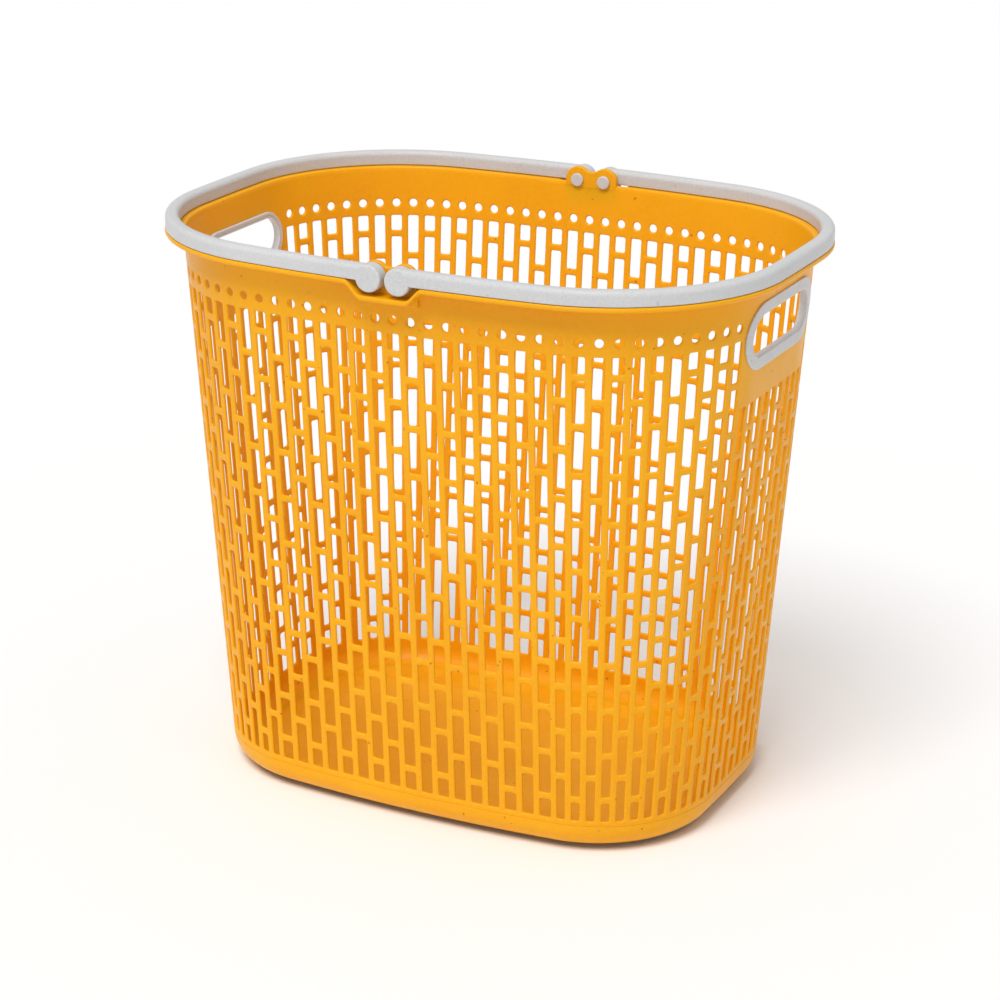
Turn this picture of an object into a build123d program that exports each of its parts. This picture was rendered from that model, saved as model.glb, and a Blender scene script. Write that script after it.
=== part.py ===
"""Shopping basket: a lattice tub with two folding carry handles and a hand grip in each end wall.

Millimetres, +Z up. X runs along the basket and Y across it. The origin is on the floor, under
the middle of the basket. "Offset" is always a distance outwards from the reference outline,
which is the outside of the wall at the height of the vent holes.
"""
import math
import os

from build123d import *

# reference outline: bowed long sides and ends joined by large corner arcs
HALF_LENGTH = 205.0
HALF_WIDTH = 149.0
LONG_SIDE_R = 1130.0
END_SIDE_R = 2000.0
CORNER_R = 110.0

# heights
FOOT_H = 3.0
VENT_Z = 360.0
FLANGE_TOP = 386.5
TRAY_TOP = 377.2

# tub
WALL = 2.3
FLOOR = 3.0
TAPER = 4.0
BASE_R = 15.0
FLANGE_T = 3.3
FLANGE_OFFSET = 14.0
RIM_FLARE = 1.5
FOOT_OFFSET = -40.5
FOOT_W = 3.0
FOOT_MIN_Y = 59.5

# lattice: columns of upright windows in running bond, with one vent hole above each column
COLUMNS_PER_QUARTER = 24
RIB = 4.8
RUNG = 4.8
RUNG_PITCH = 33.0
FIRST_RUNG = {0: 337.2, 1: 320.7}
WINDOW_TOP = 350.7
WINDOW_BOTTOM = 24.5
VENT_D = 5.8

# blank panel around each hand grip
PANEL_FIRST_COLUMN = 20
PANEL_BOTTOM = 304.0

# carry handles
HANDLE_IN = 4.2
HANDLE_OUT = 13.6
HANDLE_BOTTOM = 386.8
HANDLE_TOP = 397.0
HANDLE_ROUND = 3.6
PIVOT_X = 10.3
PIVOT_Z = 388.6
KNUCKLE_R = 8.9
KNUCKLE_ROUND = 1.4

# hinge ears and pins
EAR_IN = 148.3
EAR_OUT = 152.6
EAR_R = 9.4
EAR_SADDLE_Z = 394.6
PIN_R = 3.0
PIN_FIT = 0.06
PIN_GRIP = 0.02
PIN_LENGTH = 11.0
PIN_HEAD_R = 4.7
PIN_HEAD_H = 2.2
PIN_HEAD_GAP = 0.1

# hand grips
GRIP_Z = 348.5
GRIP_HALF_LENGTH = 47.5
GRIP_HALF_HEIGHT = 14.0
BEZEL_W = 8.5
BEZEL_T = 1.2
SLEEVE_T = 1.6
RETAINER_W = 4.2
RETAINER_T = 2.0
GRIP_FIT = 0.15
GRIP_GAP = 0.1
RETAINER_FIT = 0.1


def corner_geometry():
    """Centre of the corner arc and the angles where it meets the long side and the end."""
    long_cy = HALF_WIDTH - LONG_SIDE_R
    end_cx = HALF_LENGTH - END_SIDE_R
    to_long = LONG_SIDE_R - CORNER_R
    to_end = END_SIDE_R - CORNER_R
    span = math.hypot(end_cx, long_cy)
    along = (to_long**2 - to_end**2 + span**2) / (2 * span)
    across = math.sqrt(to_long**2 - along**2)
    ux, uy = end_cx / span, -long_cy / span
    cx = along * ux + across * uy
    cy = long_cy + along * uy - across * ux
    long_angle = math.degrees(math.atan2(cx, cy - long_cy))
    end_angle = math.degrees(math.atan2(cy, cx - end_cx))
    return cx, cy, long_angle, end_angle


CORNER_X, CORNER_Y, LONG_ANGLE, END_ANGLE = corner_geometry()
CORNER_ANGLE = 90 - LONG_ANGLE - END_ANGLE
LONG_RUN = LONG_SIDE_R * math.radians(LONG_ANGLE)
CORNER_RUN = CORNER_R * math.radians(CORNER_ANGLE)
END_RUN = END_SIDE_R * math.radians(END_ANGLE)
PITCH = (LONG_RUN + CORNER_RUN + END_RUN) / COLUMNS_PER_QUARTER


def wall_offset(z):
    """Offset of the outside of the tapering wall at height z."""
    return (z - VENT_Z) * math.tan(math.radians(TAPER))


def outline(offset, z):
    """Filled outline at height z."""
    with BuildSketch(Plane.XY.offset(z)) as shape:
        with BuildLine():
            CenterArc((0, HALF_WIDTH - LONG_SIDE_R), LONG_SIDE_R + offset, 90 - LONG_ANGLE, LONG_ANGLE)
            CenterArc((CORNER_X, CORNER_Y), CORNER_R + offset, END_ANGLE, CORNER_ANGLE)
            CenterArc((HALF_LENGTH - END_SIDE_R, 0), END_SIDE_R + offset, 0, END_ANGLE)
            mirror(about=Plane.YZ)
            mirror(about=Plane.XZ)
        make_face()
    return shape.sketch


def tapered_block(offset, low, high):
    """Solid that follows the wall's taper, at a constant offset from the outside of the wall."""
    with BuildPart() as block:
        add(outline(offset + wall_offset(low), low))
        extrude(amount=high - low, taper=-TAPER)
    return block.part


def straight_block(offset, low, high):
    """Upright solid with the outline at one offset."""
    with BuildPart() as block:
        add(outline(offset, low))
        extrude(amount=high - low)
    return block.part


def column_station(column):
    """Outline point, outward angle in degrees and curve radius at a column counted from x=0."""
    run = column * PITCH
    if run <= LONG_RUN:
        angle = math.degrees(run / LONG_SIDE_R)
        centre, radius = (0, HALF_WIDTH - LONG_SIDE_R), LONG_SIDE_R
    elif run <= LONG_RUN + CORNER_RUN:
        angle = LONG_ANGLE + math.degrees((run - LONG_RUN) / CORNER_R)
        centre, radius = (CORNER_X, CORNER_Y), CORNER_R
    else:
        angle = 90 - END_ANGLE + math.degrees((run - LONG_RUN - CORNER_RUN) / END_SIDE_R)
        centre, radius = (HALF_LENGTH - END_SIDE_R, 0), END_SIDE_R
    x = centre[0] + radius * math.sin(math.radians(angle))
    y = centre[1] + radius * math.cos(math.radians(angle))
    return x, y, 90 - angle, radius


def window_spans(column):
    """Bottom and top of each window in a column."""
    top = PANEL_BOTTOM if column >= PANEL_FIRST_COLUMN else WINDOW_TOP
    rung = FIRST_RUNG[column % 2]
    spans = []
    while rung - RUNG / 2 > WINDOW_BOTTOM:
        if rung + RUNG / 2 < top - RUNG:
            spans.append((rung + RUNG / 2, top))
        top = min(top, rung - RUNG / 2)
        rung -= RUNG_PITCH
    spans.append((WINDOW_BOTTOM, top))
    return spans


def quarter_cutters():
    """Windows and vent holes of one quarter of the wall, from x=0 round to y=0."""
    depth = 4 * WALL
    cutters = []
    for column in range(COLUMNS_PER_QUARTER + 1):
        x, y, angle, radius = column_station(column)
        for low, high in window_spans(column):
            offset = wall_offset((low + high) / 2)
            width = PITCH * (radius + offset) / radius - RIB
            place = Location((x, y, (low + high) / 2), (0, 0, angle)) * Location((offset, 0, 0))
            cutters.append(place * Box(depth, width, high - low))
        if column < PANEL_FIRST_COLUMN:
            place = Location((x, y, VENT_Z), (0, 0, angle)) * Rotation(0, 90, 0)
            cutters.append(place * Cylinder(VENT_D / 2, depth))
    return cutters


def lattice_cutters():
    """Windows and vent holes all round, without doubling the ones on the centre planes."""
    cutters = []
    for tool in quarter_cutters():
        centre = tool.center()
        across = [tool] if abs(centre.X) < 1 else [tool, tool.mirror(Plane.YZ)]
        for piece in across:
            cutters.append(piece)
            if abs(centre.Y) > 1:
                cutters.append(piece.mirror(Plane.XZ))
    return cutters


def grip_shape(margin):
    """Round-ended outline of the hand hole, enlarged by a margin, as a bar through both end walls."""
    with BuildPart() as bar:
        with BuildSketch(Plane.YZ.offset(-300)):
            with Locations((0, GRIP_Z)):
                SlotOverall(2 * (GRIP_HALF_LENGTH + margin), 2 * (GRIP_HALF_HEIGHT + margin))
        extrude(amount=600)
    return bar.part


def tray():
    """Flange sheet that dips below the handle knuckles at the middle of each long side."""
    drop = FLANGE_TOP - TRAY_TOP
    with BuildPart() as sheet:
        with BuildSketch(Plane.XZ.offset(-200)):
            with BuildLine():
                top = Polyline(
                    (-31, FLANGE_TOP), (-27, FLANGE_TOP), (-18, TRAY_TOP),
                    (18, TRAY_TOP), (27, FLANGE_TOP), (31, FLANGE_TOP),
                )
                bottom = Polyline(
                    (-31, FLANGE_TOP - FLANGE_T), (-28.5, FLANGE_TOP - FLANGE_T),
                    (-19.5, TRAY_TOP - FLANGE_T), (19.5, TRAY_TOP - FLANGE_T),
                    (28.5, FLANGE_TOP - FLANGE_T), (31, FLANGE_TOP - FLANGE_T),
                )
                Line(top @ 0, bottom @ 0)
                Line(top @ 1, bottom @ 1)
            make_face()
        extrude(amount=400)
        bends = sheet.edges().filter_by(Axis.Y).filter_by(lambda e: abs(e.center().X) < 30)
        fillet(bends, radius=drop / 3)
        add(straight_block(FLANGE_OFFSET, TRAY_TOP - 10, FLANGE_TOP + 1), mode=Mode.INTERSECT)
        add(straight_block(-1, TRAY_TOP - 20, FLANGE_TOP + 10), mode=Mode.SUBTRACT)
    return sheet.part


def hinge_axis(side, y):
    """Placement on a handle's hinge line, with the local Z axis along -Y."""
    return Location((side * PIVOT_X, y, PIVOT_Z), (90, 0, 0))


def ears():
    """Two-lobed ears, one at each long side, that carry the hinge pins."""
    with BuildPart() as pair:
        with BuildSketch(Plane.XZ.offset(-EAR_OUT)):
            with Locations((-PIVOT_X, PIVOT_Z), (PIVOT_X, PIVOT_Z)):
                Circle(EAR_R)
            with Locations((0, (TRAY_TOP + EAR_SADDLE_Z) / 2)):
                Rectangle(2 * PIVOT_X, EAR_SADDLE_Z - TRAY_TOP)
            with Locations((0, (TRAY_TOP + PIVOT_Z) / 2)):
                Rectangle(2 * (PIVOT_X + EAR_R), PIVOT_Z - TRAY_TOP)
        extrude(amount=EAR_OUT - EAR_IN)
        mirror(about=Plane.XZ)
    return pair.part


def hollow():
    """Space inside the tub, flared where the wall meets the flange."""
    flare_z = FLANGE_TOP - RIM_FLARE
    with BuildPart() as space:
        add(tapered_block(-WALL, FOOT_H + FLOOR, FLANGE_TOP + 5))
        fillet(space.edges().group_by(Axis.Z)[0], radius=BASE_R - WALL)
        add(outline(wall_offset(flare_z) - WALL, flare_z))
        extrude(amount=2 * RIM_FLARE, taper=-45)
    return space.part


def foot_rails():
    """Low rails under the two long sides."""
    top = FOOT_H + FLOOR / 2
    with BuildPart() as rails:
        add(straight_block(FOOT_OFFSET, 0, top))
        add(straight_block(FOOT_OFFSET - FOOT_W, 0, top), mode=Mode.SUBTRACT)
        Box(3 * HALF_LENGTH, 2 * FOOT_MIN_Y, 4 * top, mode=Mode.SUBTRACT)
    return rails.part


def make_body():
    """The tub: floor, lattice wall, flange, ears and feet in one moulding."""
    cutters = lattice_cutters()
    with BuildPart() as body:
        add(tapered_block(0, FOOT_H, FLANGE_TOP))
        fillet(body.edges().group_by(Axis.Z)[0], radius=BASE_R)
        add(straight_block(FLANGE_OFFSET, FLANGE_TOP - FLANGE_T, FLANGE_TOP))
        with Locations((0, -HALF_WIDTH - 12, FLANGE_TOP), (0, HALF_WIDTH + 12, FLANGE_TOP)):
            Box(60, 20, 3 * FLANGE_T, mode=Mode.SUBTRACT)
        add(tray())
        add(hollow(), mode=Mode.SUBTRACT)
        add(ears())
        with Locations(hinge_axis(-1, 0), hinge_axis(1, 0)):
            Cylinder(PIN_R + PIN_FIT, 2 * EAR_OUT + 1, mode=Mode.SUBTRACT)
        add(foot_rails())
        add(grip_shape(SLEEVE_T + GRIP_FIT), mode=Mode.SUBTRACT)
        add(cutters, mode=Mode.SUBTRACT, clean=False)
    return body.part


def knuckle(side, end):
    """Round end of a handle arm, outside the ear."""
    middle = HALF_WIDTH + (HANDLE_IN + HANDLE_OUT) / 2
    with BuildPart() as disc:
        with Locations(hinge_axis(side, end * middle)):
            Cylinder(KNUCKLE_R, HANDLE_OUT - HANDLE_IN)
        fillet(disc.edges().filter_by(lambda e: abs(e.center().Y) > middle), radius=KNUCKLE_ROUND)
    return disc.part


def make_handle(side):
    """Carry handle that lies along the flange round one end: side -1 is left, 1 is right."""
    bore_end = EAR_IN + PIN_LENGTH + 0.4
    with BuildPart() as handle:
        add(straight_block(HANDLE_OUT, HANDLE_BOTTOM, HANDLE_TOP))
        add(straight_block(HANDLE_IN, HANDLE_BOTTOM - 1, HANDLE_TOP + 1), mode=Mode.SUBTRACT)
        with Locations((side * (PIVOT_X - HALF_LENGTH * 2), 0, HANDLE_TOP)):
            Box(4 * HALF_LENGTH, 4 * HALF_WIDTH, 50, mode=Mode.SUBTRACT)
        crown = handle.edges().group_by(Axis.Z)[-1].filter_by(lambda e: e.length > 20)
        fillet(crown, radius=HANDLE_ROUND)
        add(knuckle(side, -1))
        add(knuckle(side, 1))
        with Locations(hinge_axis(side, -bore_end), hinge_axis(side, bore_end)):
            Cylinder(PIN_R + PIN_GRIP, 2 * (bore_end - EAR_OUT), mode=Mode.SUBTRACT)
    return handle.part


def make_pin(side, end):
    """Headed hinge pin: its head is inside the ear and its shaft is pressed into the knuckle."""
    shaft_y = EAR_IN + PIN_LENGTH / 2
    head_y = EAR_IN - PIN_HEAD_GAP - PIN_HEAD_H / 2
    with BuildPart() as pin:
        with Locations(hinge_axis(side, end * head_y)):
            Cylinder(PIN_HEAD_R, PIN_HEAD_H)
        rim = pin.edges().filter_by(lambda e: abs(e.center().Y) < head_y)
        fillet(rim, radius=PIN_HEAD_H / 3)
        with Locations(hinge_axis(side, end * (shaft_y - PIN_HEAD_GAP / 2))):
            Cylinder(PIN_R, PIN_LENGTH + PIN_HEAD_GAP)
    return pin.part


def wall_layer(inner, outer, margin):
    """Layer that follows the wall between two offsets, cut to a grip outline, at the right end."""
    low = GRIP_Z - 40
    high = GRIP_Z + 33
    with BuildPart() as layer:
        add(tapered_block(outer, low, high))
        add(tapered_block(inner, low - 1, high + 1), mode=Mode.SUBTRACT)
        add(grip_shape(margin), mode=Mode.INTERSECT)
        with Locations((-HALF_LENGTH, 0, GRIP_Z)):
            Box(2 * HALF_LENGTH, 2 * HALF_WIDTH, 100, mode=Mode.SUBTRACT)
    return layer.part


def make_grip_frame():
    """Right hand grip: bezel outside the wall and sleeve through the hand hole."""
    inner_face = -WALL - GRIP_GAP - RETAINER_T
    with BuildPart() as frame:
        add(wall_layer(GRIP_GAP, GRIP_GAP + BEZEL_T, BEZEL_W))
        add(wall_layer(inner_face, GRIP_GAP + BEZEL_T, SLEEVE_T))
        add(grip_shape(0), mode=Mode.SUBTRACT)
    return frame.part


def make_grip_retainer():
    """Ring that snaps over the right grip's sleeve on the inside of the wall."""
    inner_face = -WALL - GRIP_GAP - RETAINER_T
    with BuildPart() as ring:
        add(wall_layer(inner_face, -WALL - GRIP_GAP, RETAINER_W))
        add(grip_shape(SLEEVE_T + RETAINER_FIT), mode=Mode.SUBTRACT)
    return ring.part


def mirrored(piece):
    """The same piece for the left end."""
    with BuildPart() as other:
        mirror(piece, about=Plane.YZ)
    return other.part


def make_pieces():
    """Every separate piece of the basket, by name."""
    pieces = {"basket_body": make_body()}
    for side, name in ((-1, "left"), (1, "right")):
        pieces[f"{name}_handle"] = make_handle(side)
        pieces[f"{name}_front_pin"] = make_pin(side, -1)
        pieces[f"{name}_back_pin"] = make_pin(side, 1)
    frame = make_grip_frame()
    retainer = make_grip_retainer()
    pieces["right_grip_frame"] = frame
    pieces["left_grip_frame"] = mirrored(frame)
    pieces["right_grip_retainer"] = retainer
    pieces["left_grip_retainer"] = mirrored(retainer)
    return pieces


def main():
    os.makedirs("parts", exist_ok=True)
    for name, piece in make_pieces().items():
        piece.label = name
        export_step(piece, f"parts/{name}.step")


main()
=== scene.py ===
"""Looks of the shopping basket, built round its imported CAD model.

Lengths in the shape code are millimetres in the frame of the CAD; meshes are scaled to metres
when they are made. "Offset" is a distance outwards from the reference outline, which is the
outside of the wall at the height of the vent holes. A "column" is a place round the wall,
counted clockwise from the middle of the back in window widths, 24 to each quarter.
"""

import math

import bmesh
import bpy
from mathutils import Matrix, Vector


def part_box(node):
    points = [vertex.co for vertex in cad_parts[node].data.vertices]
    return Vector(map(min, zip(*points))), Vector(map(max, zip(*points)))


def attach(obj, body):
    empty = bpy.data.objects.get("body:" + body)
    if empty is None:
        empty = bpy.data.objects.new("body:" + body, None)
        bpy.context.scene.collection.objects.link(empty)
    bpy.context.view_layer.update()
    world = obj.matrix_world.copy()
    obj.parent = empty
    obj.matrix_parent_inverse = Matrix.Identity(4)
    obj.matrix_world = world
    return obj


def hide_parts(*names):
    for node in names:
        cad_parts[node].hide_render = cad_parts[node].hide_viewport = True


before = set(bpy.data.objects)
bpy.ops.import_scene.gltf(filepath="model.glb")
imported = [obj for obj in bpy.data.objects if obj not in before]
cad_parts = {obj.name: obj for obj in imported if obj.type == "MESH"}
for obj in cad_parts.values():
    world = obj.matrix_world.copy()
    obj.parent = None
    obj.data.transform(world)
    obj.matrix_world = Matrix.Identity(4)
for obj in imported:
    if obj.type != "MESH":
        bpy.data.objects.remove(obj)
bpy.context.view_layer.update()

MM = 0.001

# reference outline: bowed long sides and ends joined by large corner arcs
HALF_LENGTH = 205.0
HALF_WIDTH = 149.0
LONG_SIDE_R = 1130.0
END_SIDE_R = 2000.0
CORNER_R = 110.0

# heights
FOOT_H = 3.0
VENT_Z = 360.0
FLANGE_TOP = 386.5
TRAY_TOP = 377.2

# tub
WALL = 2.3
FLOOR = 3.0
TAPER = 4.0
BASE_R = 15.0
FLANGE_T = 3.3
FLANGE_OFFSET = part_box("basket_body")[1].x / MM - HALF_LENGTH
LIP_R = 1.3
FLANGE_ROOT_R = 2.0
TRAY_EDGE = 5.0
RIM_STEP = 2.6
RIM_INNER_R = 1.4
DIP_FLAT = 15.0
DIP_FULL = 27.5
FOOT_OFFSET = -40.5
FOOT_W = 3.0
FOOT_MIN_Y = 59.5

# lattice
QUARTER = 24
COLUMNS = 4 * QUARTER
RIB = 4.8
RUNG_PITCH = 33.0
FIRST_RUNG = (337.2, 320.7)
WINDOW_TOP = 350.7
WINDOW_BOTTOM = 24.5
PARTING_Z = 20.8
PARTING_DEPTH = 0.3
VENT_D = 5.8
EDGE_R = 1.15
WINDOW_R = 1.2
PANEL_FIRST_COLUMN = 20
PANEL_BOTTOM = 304.0

# limits between the bands of the wall mesh
BAND_LOW = WINDOW_BOTTOM - RIB / 2
BAND_VENT = 353.4
BAND_HIGH = 366.6

# carry handles
HANDLE_IN = 4.2
HANDLE_OUT = 13.6
HANDLE_BOTTOM = 386.8
HANDLE_TOP = 397.0
HANDLE_CROWN_R = 3.4
HANDLE_EDGE_R = 0.9
PIVOT_X = 10.3
PIVOT_Z = 388.6
KNUCKLE_R = 8.9
KNUCKLE_FRONT_R = 1.4
KNUCKLE_BACK_R = 0.6

# hinge ears and pins
EAR_IN = 148.3
EAR_OUT = 152.6
EAR_R = 9.4
EAR_SADDLE_Z = 394.6
EAR_RIM = 0.7
EAR_FOOT = 6.0
PIN_R = 3.0
PIN_HEAD_R = 4.7
PIN_HEAD_H = 2.2
PIN_LENGTH = 11.0
PIN_HEAD_RIM = 0.8

# hand grips
GRIP_Z = 348.5
GRIP_HALF_LENGTH = 47.5
GRIP_HALF_HEIGHT = 14.0
BEZEL_W = 8.5
BEZEL_T = 1.2
SLEEVE_T = 1.6
RETAINER_W = 4.2
RETAINER_T = 2.0
GRIP_GAP = 0.1
GRIP_FIT = 0.15

# mesh detail
MERGE = 0.004
NEAR = 1e-6


# ---------------------------------------------------------------- the wall's surface


def corner_geometry():
    """Centre of the corner arc and the angles where it meets the long side and the end."""
    long_cy = HALF_WIDTH - LONG_SIDE_R
    end_cx = HALF_LENGTH - END_SIDE_R
    to_long = LONG_SIDE_R - CORNER_R
    to_end = END_SIDE_R - CORNER_R
    span = math.hypot(end_cx, long_cy)
    along = (to_long**2 - to_end**2 + span**2) / (2 * span)
    across = math.sqrt(to_long**2 - along**2)
    ux, uy = end_cx / span, -long_cy / span
    cx = along * ux + across * uy
    cy = long_cy + along * uy - across * ux
    return cx, cy, math.atan2(cx, cy - long_cy), math.atan2(cy, cx - end_cx)


CORNER_X, CORNER_Y, LONG_ANGLE, END_ANGLE = corner_geometry()
CORNER_ANGLE = math.pi / 2 - LONG_ANGLE - END_ANGLE
LONG_RUN = LONG_SIDE_R * LONG_ANGLE
CORNER_RUN = CORNER_R * CORNER_ANGLE
END_RUN = END_SIDE_R * END_ANGLE
PITCH = (LONG_RUN + CORNER_RUN + END_RUN) / QUARTER
SLOPE = math.tan(math.radians(TAPER))


def wall_offset(z):
    """Offset of the outside of the tapering wall at height z."""
    return (z - VENT_Z) * SLOPE


def quarter_station(column):
    """Centre, radius and angle from +Y of the outline at a column in the first quarter."""
    run = column * PITCH
    if run <= LONG_RUN:
        return (0, HALF_WIDTH - LONG_SIDE_R), LONG_SIDE_R, run / LONG_SIDE_R
    if run <= LONG_RUN + CORNER_RUN:
        return (CORNER_X, CORNER_Y), CORNER_R, LONG_ANGLE + (run - LONG_RUN) / CORNER_R
    angle = math.pi / 2 - END_ANGLE + (run - LONG_RUN - CORNER_RUN) / END_SIDE_R
    return (HALF_LENGTH - END_SIDE_R, 0), END_SIDE_R, angle


def fold(column):
    """First-quarter column that any column mirrors, and the signs of its x and y."""
    column %= COLUMNS
    quarter = int(column // QUARTER)
    local = column - quarter * QUARTER
    if quarter % 2:
        local = QUARTER - local
    return local, (1, 1, -1, -1)[quarter], (1, -1, -1, 1)[quarter]


def outline_point(column, offset, z):
    """Point at an offset from the reference outline."""
    local, sx, sy = fold(column)
    centre, radius, angle = quarter_station(local)
    x = centre[0] + (radius + offset) * math.sin(angle)
    y = centre[1] + (radius + offset) * math.cos(angle)
    return (sx * x, sy * y, z)


def wall_point(column, z, depth=0.0):
    """Point of the wall: depth 0 is its outside and -WALL its inside."""
    return outline_point(column, wall_offset(z) + depth, z)


def column_width(column, z):
    """Distance along the wall, at height z, from one column to the next."""
    local = fold(column)[0]
    radius = quarter_station(local)[1]
    return PITCH * (radius + wall_offset(z)) / radius


# ---------------------------------------------------------------- mesh building


class Shell:
    """Vertices and faces of one mesh, in millimetres."""

    def __init__(self):
        self.points = []
        self.faces = []

    def loop(self, points):
        """Adds points and gives their numbers."""
        start = len(self.points)
        self.points.extend(points)
        return list(range(start, start + len(points)))

    def strip(self, a, b, closed=True):
        """Quads between two loops with the same number of points."""
        count = len(a)
        for i in range(count if closed else count - 1):
            j = (i + 1) % count
            self.faces.append((a[i], a[j], b[j], b[i]))

    def stitch(self, outer, inner):
        """Triangles between two closed loops that start at matching points."""

        def distance(p, q):
            return math.dist(self.points[p], self.points[q])

        i = j = 0
        while i < len(outer) or j < len(inner):
            a, b = outer[i % len(outer)], inner[j % len(inner)]
            next_a, next_b = outer[(i + 1) % len(outer)], inner[(j + 1) % len(inner)]
            take_outer = j == len(inner)
            if i < len(outer) and j < len(inner):
                take_outer = distance(next_a, b) <= distance(a, next_b)
            if take_outer:
                self.faces.append((a, next_a, b))
                i += 1
            else:
                self.faces.append((a, next_b, b))
                j += 1

    def make(self, name):
        """Object with this mesh, scaled to metres."""
        mesh = bpy.data.meshes.new(name)
        scaled = [(x * MM, y * MM, z * MM) for x, y, z in self.points]
        mesh.from_pydata(scaled, [], self.faces)
        weld(mesh, MERGE)
        return add_object(name, mesh)


def weld(mesh, distance):
    """Merges points closer than a distance in millimetres and turns the faces outwards."""
    bm = bmesh.new()
    bm.from_mesh(mesh)
    bmesh.ops.remove_doubles(bm, verts=bm.verts, dist=distance * MM)
    bmesh.ops.recalc_face_normals(bm, faces=bm.faces)
    bm.to_mesh(mesh)
    bm.free()


def add_object(name, mesh):
    obj = bpy.data.objects.new(name, mesh)
    bpy.context.scene.collection.objects.link(obj)
    return obj


def smooth(obj, angle=35.0):
    """Smooth shading that keeps real corners and lets the large flat faces stay flat."""
    obj.data.shade_smooth()
    obj.data.set_sharp_from_angle(angle=math.radians(angle))
    modifier = obj.modifiers.new("weighted normals", "WEIGHTED_NORMAL")
    modifier.keep_sharp = True
    return obj


def join(name, objects):
    """One object out of several."""
    bm = bmesh.new()
    for obj in objects:
        bm.from_mesh(obj.data)
    mesh = bpy.data.meshes.new(name)
    bm.to_mesh(mesh)
    bm.free()
    for obj in objects:
        bpy.data.objects.remove(obj)
    return add_object(name, mesh)


def rounded_edge(steps):
    """How far back and how deep the loops of a half-round edge are, from the outside in."""
    loops = []
    for k in range(steps + 1):
        turn = math.pi * k / steps
        loops.append((EDGE_R * (1 - math.sin(turn)), -WALL / 2 * (1 - math.cos(turn))))
    return loops


def arc(centre, radius, first, last, steps):
    """Points of an arc in (offset, height), with angles in degrees from outwards to upwards."""
    turns = [math.radians(first + (last - first) * k / steps) for k in range(steps + 1)]
    return [(centre[0] + radius * math.cos(t), centre[1] + radius * math.sin(t)) for t in turns]


def rounded_rectangle(half_w, low, high, radius, steps=3):
    """Rounded rectangle about x=0, anticlockwise from its lower left corner."""
    points = []
    corners = ((-1, low, 180), (1, low, 270), (1, high, 0), (-1, high, 90))
    for side, z, first in corners:
        cx = side * (half_w - radius)
        cz = z + radius if z == low else z - radius
        for k in range(steps + 1):
            a = math.radians(first + 90 * k / steps)
            points.append((cx + radius * math.cos(a), cz + radius * math.sin(a)))
    return points


def stadium(half_l, half_h, steps=12):
    """Round-ended outline about the origin, from its lower left end, anticlockwise."""
    points = []
    for side, first in ((-1, 180), (1, -90), (1, 0), (-1, 90)):
        cx = side * (half_l - half_h)
        for k in range(steps + 1):
            a = math.radians(first + 90 * k / steps)
            point = (cx + half_h * math.cos(a), half_h * math.sin(a))
            if not points or math.dist(points[-1], point) > NEAR:
                points.append(point)
    return points[:-1]


# ---------------------------------------------------------------- the tub


def in_panel(column):
    """True where the wall round a hand grip is blank."""
    return fold(column)[0] > PANEL_FIRST_COLUMN - 0.5


def rung_heights(column):
    """Middle heights of a column's rungs, from the top."""
    ceiling = PANEL_BOTTOM if in_panel(column) else WINDOW_TOP
    rung = FIRST_RUNG[column % 2]
    heights = []
    while rung - RIB / 2 > WINDOW_BOTTOM:
        if rung + RIB / 2 < ceiling - RIB:
            heights.append(rung)
        rung -= RUNG_PITCH
    return heights


def window_cells(column):
    """Low and high limits of each lattice cell of a column."""
    top = PANEL_BOTTOM + RIB / 2 if in_panel(column) else BAND_VENT
    limits = [top] + rung_heights(column) + [BAND_LOW]
    return list(zip(limits[1:], limits[:-1]))


def column_breaks(column):
    """Every height where a column's cells meet."""
    breaks = {BAND_LOW, BAND_HIGH}
    for low, high in window_cells(column):
        breaks.update((low, high))
    return breaks


def side_points(column, low, high):
    """Heights of the shared points along the rib right of a column, between two limits."""
    heights = column_breaks(column) | column_breaks((column + 1) % COLUMNS)
    return sorted(z for z in heights if low - NEAR <= z <= high + NEAR)


def dip_stations():
    """Extra places near the middle of each long side, where the flange dips."""
    near = [k / 12 for k in range(-29, 30)]
    return [c % COLUMNS for c in near] + [c + 2 * QUARTER for c in near]


STATIONS = sorted({round(c, 6) for c in [k / 2 for k in range(2 * COLUMNS)] + dip_stations()})


def stations_between(first, last):
    """Stations of the flange from one column to another, both included."""
    found = [c for c in STATIONS if first - NEAR <= c <= last + NEAR]
    if first < 0:
        found = [c - COLUMNS for c in STATIONS if c >= first + COLUMNS - NEAR] + found
    if last > COLUMNS - 0.1:
        found += [COLUMNS + c for c in STATIONS if c <= last - COLUMNS + NEAR]
    return sorted({round(c, 6) for c in found})


def cell_boundary(column, low, high):
    """Shared points round a cell, from its lower left corner: (column, height) pairs."""
    left, right = column - 0.5, column + 0.5
    top = stations_between(left, right) if high == BAND_HIGH else (left, column, right)
    points = [(left, low), (column, low)]
    points += [(right, z) for z in side_points(column, low, high)]
    points += [(c, high) for c in reversed(top[1:-1])]
    points += [(left, z) for z in reversed(side_points((column - 1) % COLUMNS, low, high))]
    return points[:-1]


def add_cell(shell, column, low, high, contour, mid):
    """One lattice cell: the wall round a hole, with a half-round edge right through it."""
    boundary = cell_boundary(column, low, high)
    outer = shell.loop([wall_point(c, z) for c, z in boundary])
    inner = shell.loop([wall_point(c, z, -WALL) for c, z in boundary])
    width = column_width(column, mid)
    loops = []
    for back, depth in rounded_edge(6):
        shape = contour(back)
        loops.append(shell.loop([wall_point(column + s / width, z, depth) for s, z in shape]))
    shell.stitch(outer, loops[0])
    for a, b in zip(loops[:-1], loops[1:]):
        shell.strip(a, b)
    shell.stitch(inner, loops[-1])


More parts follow.
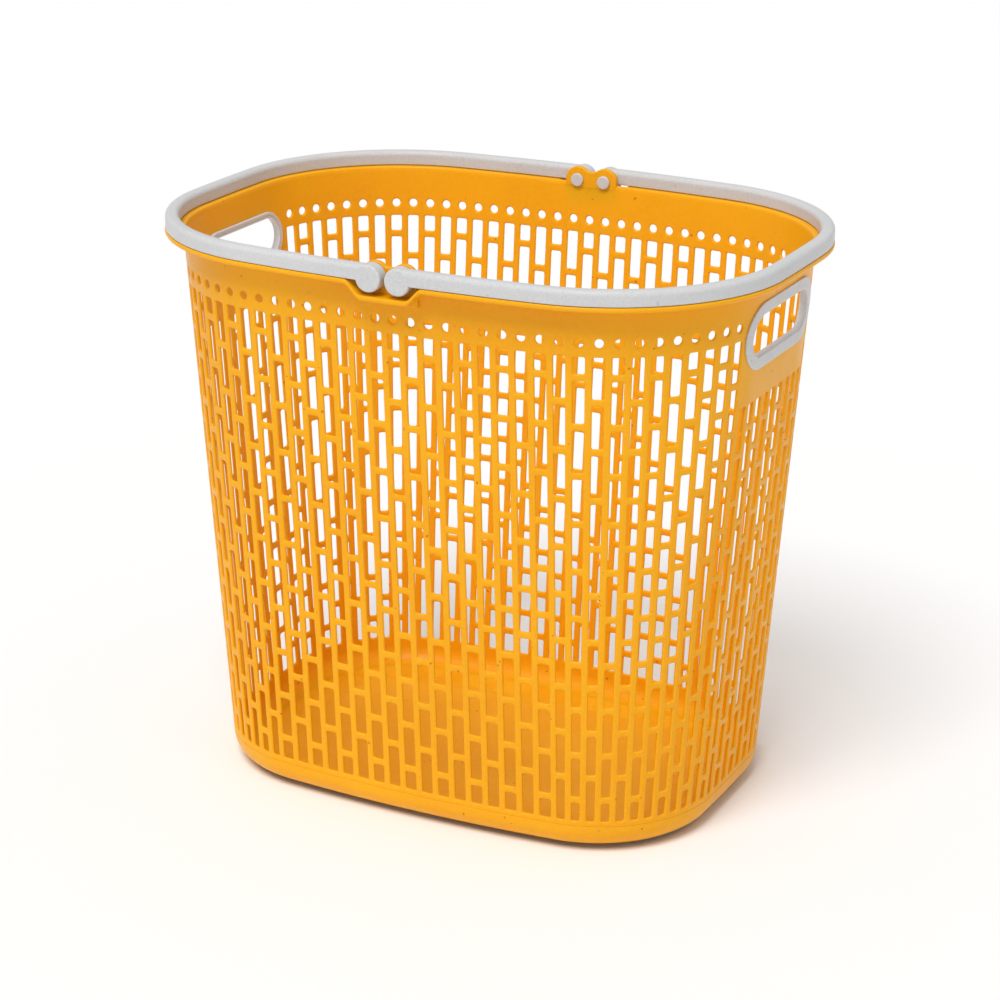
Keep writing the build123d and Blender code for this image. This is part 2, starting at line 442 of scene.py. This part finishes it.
def add_window(shell, column, low, high):
    """Lattice cell with an upright window."""
    bottom = low + RIB / 2
    top = WINDOW_TOP if high == BAND_VENT else high - RIB / 2
    mid = (bottom + top) / 2
    half_w = (column_width(column, mid) - RIB) / 2

    def contour(back):
        return rounded_rectangle(half_w + back, bottom - back, top + back, WINDOW_R + back)

    add_cell(shell, column, low, high, contour, mid)


def add_vent(shell, column):
    """Cell with a round vent hole."""

    def contour(back):
        radius = VENT_D / 2 + back
        turns = [math.radians(225 + 360 * k / 20) for k in range(20)]
        return [(radius * math.cos(t), VENT_Z + radius * math.sin(t)) for t in turns]

    add_cell(shell, column, BAND_VENT, BAND_HIGH, contour, VENT_Z)


def hand_hole():
    """Outline of a hand hole about its centre, from its lower left, and its half sizes."""
    half_l = GRIP_HALF_LENGTH + SLEEVE_T + GRIP_FIT
    half_h = GRIP_HALF_HEIGHT + SLEEVE_T + GRIP_FIT
    shape = stadium(half_l, half_h)
    corner = (-half_l, -half_h)
    start = min(range(len(shape)), key=lambda i: math.dist(shape[i], corner))
    return shape[start:] + shape[:start], half_l, half_h


def add_panel_face(shell, middle, depth):
    """One face of a blank panel round a hand hole; returns the loop of the hole's edge."""
    shape, half_l, half_h = hand_hole()
    first = middle - (QUARTER - PANEL_FIRST_COLUMN) - 0.5
    columns = [first + k / 2 for k in range(int(4 * (middle - first)) + 1)]
    reach = math.ceil(2 * (half_l + 0.5) / PITCH) / 2
    low, high = GRIP_Z - half_h - 1, GRIP_Z + half_h + 1
    levels = set(side_points(int(first - 0.5), PANEL_BOTTOM + RIB / 2, BAND_HIGH))
    levels = sorted(levels | {low, GRIP_Z, high})
    grid = {(c, z): shell.loop([wall_point(c, z, depth)])[0] for c in columns for z in levels}
    for c in columns[:-1]:
        for z, above in zip(levels[:-1], levels[1:]):
            if abs(c + 0.25 - middle) < reach and low < (z + above) / 2 < high:
                continue
            corners = ((c, z), (c + 0.5, z), (c + 0.5, above), (c, above))
            shell.faces.append(tuple(grid[corner] for corner in corners))
    across = [c for c in columns if abs(c - middle) <= reach]
    upward = [z for z in levels if low <= z <= high]
    surround = [grid[c, low] for c in across] + [grid[across[-1], z] for z in upward[1:]]
    surround += [grid[c, high] for c in reversed(across[:-1])]
    surround += [grid[across[0], z] for z in reversed(upward[1:-1])]
    width = column_width(middle, GRIP_Z)
    hole = shell.loop([wall_point(middle + s / width, GRIP_Z + z, depth) for s, z in shape])
    shell.stitch(surround, hole)
    return hole


def add_panel(shell, middle):
    """Blank panel with the hole for a hand grip, centred on a column."""
    outside = add_panel_face(shell, middle, 0.0)
    inside = add_panel_face(shell, middle, -WALL)
    shell.strip(outside, inside)


def dip(x):
    """Height of the top of the flange at a distance x from the middle of a long side."""
    t = min(max((abs(x) - DIP_FLAT) / (DIP_FULL - DIP_FLAT), 0.0), 1.0)
    return TRAY_TOP + (FLANGE_TOP - TRAY_TOP) * t * t * (3 - 2 * t)


def flange_profile(column):
    """Section from outside the wall over the flange's lip and the rim to inside the wall."""
    near_middle = fold(column)[0] < 4
    top = dip(outline_point(column, 0, 0)[0]) if near_middle else FLANGE_TOP
    under = top - FLANGE_T
    root = (wall_offset(under - FLANGE_ROOT_R) + FLANGE_ROOT_R, under - FLANGE_ROOT_R)
    lip = FLANGE_OFFSET - LIP_R
    rise = FLANGE_TOP - top
    points = [(wall_offset(BAND_HIGH), BAND_HIGH), (wall_offset(under - 5), under - 5)]
    points += arc(root, FLANGE_ROOT_R, 180, 90, 4) + [(lip - 2.5, under)]
    points += arc((lip, under + LIP_R), LIP_R, -90, 0, 4)
    points += arc((lip, top - LIP_R), LIP_R, 0, 90, 4)
    points += [(TRAY_EDGE, top), (RIM_STEP + 0.7, top), (RIM_STEP + 0.2, top + min(0.2, rise))]
    points += [(RIM_STEP, top + min(0.7, rise)), (RIM_STEP, max(FLANGE_TOP - 0.5, top))]
    inside = wall_offset(FLANGE_TOP) - WALL + 1.9
    points += [(RIM_STEP - 0.5, FLANGE_TOP), (inside, FLANGE_TOP)]
    points += arc((inside, FLANGE_TOP - RIM_INNER_R), RIM_INNER_R, 90, 160, 3)
    for z in (FLANGE_TOP - 3.4, BAND_HIGH):
        points.append((wall_offset(z) - WALL, z))
    return points


def base_profile(inside):
    """Section from the lattice down round the base edge: of the outside, or of the inside."""
    depth = WALL if inside else 0.0
    floor_z = FOOT_H + (FLOOR if inside else 0.0)
    radius = BASE_R - depth
    tilt = math.radians(TAPER)
    centre_z = floor_z + radius
    centre = wall_offset(centre_z) - depth - radius / math.cos(tilt)
    points = [(wall_offset(BAND_LOW) - depth, BAND_LOW)]
    if not inside:
        groove = wall_offset(PARTING_Z) - PARTING_DEPTH
        upper, lower = PARTING_Z + 0.35, PARTING_Z - 0.35
        points += [(wall_offset(upper), upper), (groove, PARTING_Z + 0.15)]
        points += [(groove, PARTING_Z - 0.15), (wall_offset(lower), lower)]
    points += arc((centre, centre_z), radius, -TAPER, -90, 9)
    points += [(-35.0, floor_z), (-60.0, floor_z)]
    return points


def sweep(shell, stations, profile_at):
    """Skin all round through the sections at the stations; returns their last points."""
    rows = []
    for c in stations:
        rows.append(shell.loop([outline_point(c, o, z) for o, z in profile_at(c)]))
    for a, b in zip(rows, rows[1:] + rows[:1]):
        shell.strip(a, b, closed=False)
    return [row[-1] for row in rows]


def make_bar(name, stations, section):
    """Solid bar along the outline through a closed section at each station."""
    shell = Shell()
    rows = [shell.loop([outline_point(c, o, z) for o, z in section]) for c in stations]
    for a, b in zip(rows[:-1], rows[1:]):
        shell.strip(a, b)
    shell.faces.append(tuple(rows[0]))
    shell.faces.append(tuple(reversed(rows[-1])))
    return shell.make(name)


def make_wall():
    """Lattice wall, flange and floor as one skin."""
    shell = Shell()
    for column in range(COLUMNS):
        for low, high in window_cells(column):
            add_window(shell, column, low, high)
        if not in_panel(column):
            add_vent(shell, column)
    add_panel(shell, QUARTER)
    add_panel(shell, 3 * QUARTER)
    sweep(shell, STATIONS, flange_profile)
    base = [k / 2 for k in range(2 * COLUMNS)]
    for inside in (False, True):
        section = base_profile(inside)
        floor = sweep(shell, base, lambda c: section)
        shell.faces.append(tuple(floor))
    return shell.make("tub_wall")


def plate(name, outline, holes, y_in, y_out, bevel):
    """Upright plate with rounded rims, drawn in X and Z, between two distances from the centre."""
    curve = bpy.data.curves.new(name, "CURVE")
    curve.dimensions = "2D"
    curve.fill_mode = "BOTH"
    curve.extrude = (y_out - y_in) / 2 * MM - bevel * MM
    curve.bevel_depth = bevel * MM
    curve.bevel_resolution = 2
    curve.offset = -bevel * MM
    for points in [outline] + holes:
        spline = curve.splines.new("POLY")
        spline.points.add(len(points) - 1)
        for point, (x, z) in zip(spline.points, points):
            point.co = (x * MM, z * MM, 0, 1)
        spline.use_cyclic_u = True
    source = bpy.data.objects.new(name, curve)
    mesh = bpy.data.meshes.new_from_object(source)
    bpy.data.objects.remove(source)
    mesh.transform(Matrix.Rotation(math.pi / 2, 4, "X"))
    mesh.transform(Matrix.Translation((0, (y_in + y_out) / 2 * MM, 0)))
    weld(mesh, 0.01)
    return add_object(name, mesh)


def circle(x, z, radius, steps=40, first=0.0, last=360.0):
    """Points of a circle or of part of one in X and Z."""
    whole = last - first >= 360
    count = steps if whole else steps + 1
    turns = [math.radians(first + (last - first) * k / steps) for k in range(count)]
    return [(x + radius * math.cos(t), z + radius * math.sin(t)) for t in turns]


def ear_outline():
    """Outline of a two-lobed hinge ear: its foot, two round lobes and the saddle between them."""
    rise = EAR_SADDLE_Z - PIVOT_Z
    reach = math.degrees(math.asin(rise / EAR_R))
    points = [(PIVOT_X + EAR_R, TRAY_TOP - EAR_FOOT), (PIVOT_X + EAR_R, PIVOT_Z - 1)]
    points += circle(PIVOT_X, PIVOT_Z, EAR_R, 20, 0, 180 - reach - 6)
    points += [(PIVOT_X - EAR_R * math.cos(math.radians(reach)) - 1.2, EAR_SADDLE_Z)]
    mirrored = [(-x, z) for x, z in reversed(points)]
    return points + mirrored


def make_ears():
    """Hinge ears inside the dips at the middles of the long sides."""
    holes = [circle(side * PIVOT_X, PIVOT_Z, PIN_R + 0.06, 24) for side in (-1, 1)]
    back = plate("ear_back", ear_outline(), holes, EAR_IN, EAR_OUT, EAR_RIM)
    front = plate("ear_front", ear_outline(), holes, EAR_IN, EAR_OUT, EAR_RIM)
    front.data.transform(Matrix.Diagonal((1, -1, 1, 1)))
    front.data.flip_normals()
    return [back, front]


def make_foot_rails():
    """Low rails under the long sides, cut square at their ends."""
    outer, inner, edge_r = FOOT_OFFSET, FOOT_OFFSET - FOOT_W, 0.6
    top = FOOT_H + 1.0
    section = [(outer, top), (outer, edge_r)]
    section += arc((outer - edge_r, edge_r), edge_r, 0, -90, 3)
    section += arc((inner + edge_r, edge_r), edge_r, -90, -180, 3) + [(inner, top)]
    reach = 0.0
    while abs(outline_point(reach, FOOT_OFFSET, 0)[1]) > FOOT_MIN_Y:
        reach += 0.05
    rails = []
    for middle in (0, 2 * QUARTER):
        stations = [middle - reach + 2 * reach * k / 60 for k in range(61)]
        rails.append(make_bar("rail", stations, section))
    return rails


def make_tub():
    """The tub, as one piece."""
    tub = join("tub", [make_wall()] + make_ears() + make_foot_rails())
    return smooth(tub)


# ---------------------------------------------------------------- handles and pins


def handle_section():
    """Section of the handle bar, in (offset, height): flat outside, crowned top."""
    crown, edge = HANDLE_CROWN_R, HANDLE_EDGE_R
    points = arc((HANDLE_OUT - crown, HANDLE_TOP - crown), crown, 0, 90, 7)
    points += arc((HANDLE_IN + crown, HANDLE_TOP - crown), crown, 90, 180, 7)
    points += arc((HANDLE_IN + edge, HANDLE_BOTTOM + edge), edge, 180, 270, 3)
    points += arc((HANDLE_OUT - edge, HANDLE_BOTTOM + edge), edge, -90, 0, 3)
    return points


def lathe(name, axis_x, profile, steps=48):
    """Solid turned about the hinge's axis: profile is (radius, y), closed on the axis."""
    shell = Shell()
    rows = []
    for radius, y in profile:
        if radius < NEAR:
            rows.append(shell.loop([(axis_x, y, PIVOT_Z)]) * steps)
            continue
        ring = circle(axis_x, PIVOT_Z, radius, steps)
        rows.append(shell.loop([(x, y, z) for x, z in ring]))
    for a, b in zip(rows[:-1], rows[1:]):
        for i in range(steps):
            j = (i + 1) % steps
            face = []
            for index in (a[i], a[j], b[j], b[i]):
                if index not in face:
                    face.append(index)
            shell.faces.append(tuple(face))
    return shell.make(name)


def knuckle_profile(end):
    """Turned shape of a handle's round end, with a shallow dimple in its outer face."""
    near, far = HALF_WIDTH + HANDLE_IN, HALF_WIDTH + HANDLE_OUT
    rim, back = KNUCKLE_FRONT_R, KNUCKLE_BACK_R
    points = [(0.0, near), (KNUCKLE_R - back, near)]
    points += [(KNUCKLE_R - back + back * math.sin(t), near + back - back * math.cos(t))
               for t in (math.pi / 6, math.pi / 3, math.pi / 2)]
    points += [(KNUCKLE_R - rim + rim * math.cos(t), far - rim + rim * math.sin(t))
               for t in [math.pi / 2 * k / 5 for k in range(6)]]
    points += [(1.5, far), (1.2, far - 0.12), (0.7, far - 0.38), (0.0, far - 0.45)]
    return [(r, end * y) for r, y in points]


def make_handle(name, side):
    """Carry handle: a bar round one end of the flange with a round knuckle at each hinge."""
    middle = QUARTER if side > 0 else 3 * QUARTER
    reach = QUARTER - PIVOT_X / PITCH
    stations = [middle + reach * (k / 90 - 1) for k in range(181)]
    bar = make_bar(name + "_bar", stations, handle_section())
    discs = [lathe("disc", side * PIVOT_X, knuckle_profile(end)) for end in (-1, 1)]
    for disc in discs:
        union = bar.modifiers.new("knuckle", "BOOLEAN")
        union.operation = "UNION"
        union.solver = "EXACT"
        union.object = disc
        bake_modifiers(bar)
        bpy.data.objects.remove(disc)
    bar.name = name
    return smooth(bar, 32)


def bake_modifiers(obj):
    """Replaces an object's mesh by its mesh with modifiers, and removes them."""
    bpy.context.view_layer.update()
    depsgraph = bpy.context.evaluated_depsgraph_get()
    mesh = bpy.data.meshes.new_from_object(obj.evaluated_get(depsgraph))
    obj.modifiers.clear()
    obj.data = mesh


def make_pin(name, side, end):
    """Hinge pin: a low domed head inside the ear and a shaft into the knuckle."""
    back = EAR_IN - GRIP_GAP
    face = back - PIN_HEAD_H
    rim = PIN_HEAD_RIM
    points = [(0.0, face), (PIN_HEAD_R - rim - 1.0, face)]
    points += [(PIN_HEAD_R - rim + rim * math.sin(t), face + rim - rim * math.cos(t))
               for t in [math.pi / 2 * k / 5 for k in range(6)]]
    points += [(PIN_HEAD_R, back - 0.2), (PIN_HEAD_R - 0.2, back), (PIN_R, back)]
    points += [(PIN_R, EAR_IN + PIN_LENGTH - 0.4), (PIN_R - 0.4, EAR_IN + PIN_LENGTH)]
    points += [(0.0, EAR_IN + PIN_LENGTH)]
    pin = lathe(name, side * PIVOT_X, [(r, end * y) for r, y in points])
    return smooth(pin)


# ---------------------------------------------------------------- hand grips


def end_point(side, y, z, depth):
    """Point of an end wall, by its distance y along the wall from the middle."""
    middle = QUARTER if side > 0 else 3 * QUARTER
    return wall_point(middle - side * y / column_width(QUARTER, GRIP_Z), z, depth)


def grip_skin(name, side, section):
    """Closed ring that follows a round-ended outline: section is (distance out, depth) pairs."""
    shell = Shell()
    rows = []
    for out, depth in section:
        shape = stadium(GRIP_HALF_LENGTH + out, GRIP_HALF_HEIGHT + out, 16)
        rows.append(shell.loop([end_point(side, s, GRIP_Z + z, depth) for s, z in shape]))
    for a, b in zip(rows, rows[1:] + rows[:1]):
        shell.strip(a, b)
    return shell.make(name)


def make_grip_frame(name, side):
    """Bezel outside the wall and sleeve through the hand hole, in one section."""
    face = GRIP_GAP + BEZEL_T
    inner = -WALL - GRIP_GAP - RETAINER_T
    rim, mouth = 0.7, 0.9
    section = [(SLEEVE_T, GRIP_GAP), (BEZEL_W - 0.1, GRIP_GAP), (BEZEL_W, GRIP_GAP + 0.1)]
    section += arc((BEZEL_W - rim, face - rim), rim, 0, 90, 4)
    section += [(BEZEL_W - 2.0, face), (mouth + 1.2, face)]
    section += arc((mouth, face - mouth), mouth, 90, 180, 5)
    section += [(0.0, face - 2.5), (0.0, inner + 1.0)]
    section += arc((0.4, inner + 0.4), 0.4, 180, 270, 2)
    section += arc((SLEEVE_T - 0.3, inner + 0.3), 0.3, 270, 360, 2)
    section += [(SLEEVE_T, inner + 1.0)]
    return smooth(grip_skin(name, side, section))


def make_grip_retainer(name, side):
    """Ring on the sleeve, inside the wall."""
    outer = -WALL - GRIP_GAP
    inner = outer - RETAINER_T
    low = SLEEVE_T + GRIP_GAP
    rim = 0.5
    section = [(low, outer), (RETAINER_W, outer)]
    section += arc((RETAINER_W - rim, inner + rim), rim, 0, -90, 3)
    section += arc((low + 0.3, inner + 0.3), 0.3, -90, -180, 2)
    return smooth(grip_skin(name, side, section))


# ---------------------------------------------------------------- materials


class Nodes:
    """Short way to write a material's node tree."""

    def __init__(self, name):
        self.material = bpy.data.materials.new(name)
        self.material.use_nodes = True
        self.tree = self.material.node_tree
        self.shader = self.tree.nodes["Principled BSDF"]

    def add(self, kind, **settings):
        node = self.tree.nodes.new(kind)
        for key, value in settings.items():
            if hasattr(node, key):
                setattr(node, key, value)
            else:
                node.inputs[key].default_value = value
        return node

    def link(self, source, target):
        self.tree.links.new(source, target)

    def noise(self, scale, detail=2.0, roughness=0.5):
        node = self.add("ShaderNodeTexNoise", Scale=scale, Detail=detail, Roughness=roughness)
        self.link(self.coordinates(), node.inputs["Vector"])
        return node.outputs["Fac"]

    def coordinates(self):
        found = [n for n in self.tree.nodes if n.bl_idname == "ShaderNodeTexCoord"]
        node = found[0] if found else self.add("ShaderNodeTexCoord")
        return node.outputs["Object"]

    def ramp(self, source, low, high, first, last):
        node = self.add("ShaderNodeMapRange")
        self.link(source, node.inputs["Value"])
        node.inputs["From Min"].default_value = low
        node.inputs["From Max"].default_value = high
        node.inputs["To Min"].default_value = first
        node.inputs["To Max"].default_value = last
        return node.outputs["Result"]

    def mix(self, factor, a, b, blend="MIX"):
        node = self.add("ShaderNodeMix", data_type="RGBA", blend_type=blend)
        for socket, value in ((node.inputs[0], factor), (node.inputs[6], a), (node.inputs[7], b)):
            if isinstance(value, (float, tuple)):
                socket.default_value = value
            else:
                self.link(value, socket)
        return node.outputs[2]

    def bump(self, height, strength, distance):
        node = self.add("ShaderNodeBump", Strength=strength, Distance=distance)
        self.link(height, node.inputs["Height"])
        self.link(node.outputs["Normal"], self.shader.inputs["Normal"])


def moulded_plastic(name, base, deep, pale, fleck, roughness, grain, mottle, mottle_scale):
    """Moulded plastic: cloudy colour, fine grain, convex edges made paler as a painted highlight,
    and uneven gloss.
    """
    n = Nodes(name)
    cloud = n.ramp(n.noise(9.0, 3.0), 0.35, 0.65, 0.0, 1.0)
    colour = n.mix(cloud, base, deep)
    specks = n.ramp(n.noise(mottle_scale, 4.0, 0.7), 0.38, 0.66, 0.0, mottle)
    colour = n.mix(specks, colour, pale)
    flecks = n.ramp(n.noise(240.0, 1.0), 0.76, 0.80, 0.0, fleck[3])
    colour = n.mix(flecks, colour, fleck[:3] + (1.0,))
    # painted highlight: convex edges (high pointiness) are mixed towards the pale colour, as if
    # light caught them
    edge_highlight = n.ramp(n.add("ShaderNodeNewGeometry").outputs["Pointiness"], 0.52, 0.60, 0.0, 0.55)
    colour = n.mix(edge_highlight, colour, pale)
    n.link(colour, n.shader.inputs["Base Color"])
    gloss = n.ramp(n.noise(70.0, 3.0), 0.3, 0.7, roughness - 0.06, roughness + 0.08)
    n.link(gloss, n.shader.inputs["Roughness"])
    n.bump(n.noise(grain, 2.0), 0.25, 0.00006)
    n.shader.inputs["IOR"].default_value = 1.49
    n.shader.inputs["Specular IOR Level"].default_value = 0.2
    return n


def tub_plastic():
    """Orange polypropylene that lets a little light through."""
    n = moulded_plastic(
        "tub_plastic",
        base=(0.90, 0.415, 0.004, 1.0),
        deep=(0.86, 0.375, 0.003, 1.0),
        pale=(0.95, 0.50, 0.02, 1.0),
        fleck=(0.45, 0.10, 0.01, 0.7),
        roughness=0.34,
        grain=1500.0,
        mottle=0.28,
        mottle_scale=420.0,
    )
    n.shader.inputs["Subsurface Weight"].default_value = 0.22
    n.shader.inputs["Subsurface Radius"].default_value = (1.0, 0.42, 0.08)
    n.shader.inputs["Subsurface Scale"].default_value = 0.003
    return n.material


def grey_plastic(name, level, roughness):
    """Pale grey plastic with a cloudy, slightly grainy look."""
    n = moulded_plastic(
        name,
        base=(level, level, level * 1.005, 1.0),
        deep=(level * 0.93, level * 0.935, level * 0.94, 1.0),
        pale=(min(level * 1.22, 0.92),) * 3 + (1.0,),
        fleck=(level * 0.7, level * 0.7, level * 0.7, 0.5),
        roughness=roughness,
        grain=1300.0,
        mottle=0.45,
        mottle_scale=650.0,
    )
    n.shader.inputs["Subsurface Weight"].default_value = 0.25
    n.shader.inputs["Subsurface Radius"].default_value = (1.0, 0.95, 0.9)
    n.shader.inputs["Subsurface Scale"].default_value = 0.002
    return n.material


def paint(obj, material):
    obj.data.materials.clear()
    obj.data.materials.append(material)


# ---------------------------------------------------------------- the pieces


def place(piece, material, body, node):
    """Gives a piece its material and its body, and hides the CAD node that it stands for."""
    paint(piece, material)
    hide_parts(node)
    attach(piece, body)


def make_basket():
    tub_material = tub_plastic()
    handle_material = grey_plastic("handle_plastic", 0.60, 0.38)
    grip_material = grey_plastic("grip_plastic", 0.61, 0.38)
    place(make_tub(), tub_material, "basket", "basket_body")
    for side, name in ((-1, "left"), (1, "right")):
        bail = f"{name}_bail"
        handle = make_handle(f"{name}_carry_handle", side)
        place(handle, handle_material, bail, f"{name}_handle")
        for end, where in ((-1, "front"), (1, "back")):
            node = f"{name}_{where}_pin"
            pin = make_pin(f"{name}_{where}_hinge_pin", side, end)
            place(pin, handle_material, bail, node)
        bezel = make_grip_frame(f"{name}_hand_grip", side)
        place(bezel, grip_material, "basket", f"{name}_grip_frame")
        ring = make_grip_retainer(f"{name}_grip_ring", side)
        place(ring, grip_material, "basket", f"{name}_grip_retainer")


# ---------------------------------------------------------------- stage, light and camera

CAMERA_AZIMUTH = 26.33
CAMERA_ELEVATION = 19.63
CAMERA_ROLL = 0.5
CAMERA_DISTANCE = 1.876
CAMERA_TARGET = (0.0237, -0.0415, 0.210)
CAMERA_LENS = 99.9


def make_floor():
    mesh = bpy.data.meshes.new("floor")
    reach = 6.0
    corners = [(-reach, -reach, 0), (reach, -reach, 0), (reach, reach, 0), (-reach, reach, 0)]
    mesh.from_pydata(corners, [], [(0, 1, 2, 3)])
    floor = add_object("floor", mesh)
    material = bpy.data.materials.new("floor")
    material.use_nodes = True
    shader = material.node_tree.nodes["Principled BSDF"]
    shader.inputs["Base Color"].default_value = (0.93, 0.93, 0.93, 1.0)
    shader.inputs["Roughness"].default_value = 0.9
    paint(floor, material)


def direction(azimuth, elevation):
    """Unit vector from the object towards a place seen at an azimuth and elevation."""
    a, e = math.radians(azimuth), math.radians(elevation)
    return Vector((math.sin(a) * math.cos(e), -math.cos(a) * math.cos(e), math.sin(e)))


def make_light(name, azimuth, elevation, spread, strength):
    """Distant soft light, so that the floor is lit evenly."""
    data = bpy.data.lights.new(name, "SUN")
    data.angle = math.radians(spread)
    data.energy = strength
    light = bpy.data.objects.new(name, data)
    bpy.context.scene.collection.objects.link(light)
    towards = direction(azimuth, elevation)
    light.location = towards * 3
    light.rotation_euler = towards.to_track_quat("Z", "Y").to_euler()


def make_world():
    world = bpy.data.worlds.new("studio")
    bpy.context.scene.world = world
    world.use_nodes = True
    background = world.node_tree.nodes["Background"]
    background.inputs["Color"].default_value = (1.0, 1.0, 1.0, 1.0)
    background.inputs["Strength"].default_value = 0.50


def make_camera():
    data = bpy.data.cameras.new("camera")
    data.lens = CAMERA_LENS
    camera = bpy.data.objects.new("camera", data)
    bpy.context.scene.collection.objects.link(camera)
    back = direction(CAMERA_AZIMUTH, CAMERA_ELEVATION)
    right = Vector((0, 0, 1)).cross(back).normalized()
    up = back.cross(right)
    roll = math.radians(CAMERA_ROLL)
    turned_right = math.cos(roll) * right + math.sin(roll) * up
    turned_up = -math.sin(roll) * right + math.cos(roll) * up
    turn = Matrix((turned_right, turned_up, back)).transposed().to_4x4()
    place_at = Vector(CAMERA_TARGET) + back * CAMERA_DISTANCE
    camera.matrix_world = Matrix.Translation(place_at) @ turn
    bpy.context.scene.camera = camera


make_basket()
make_floor()
make_world()
make_light("key", 2, 60, 28, 2.15)
make_camera()
bpy.context.scene.view_settings.view_transform = "Standard"
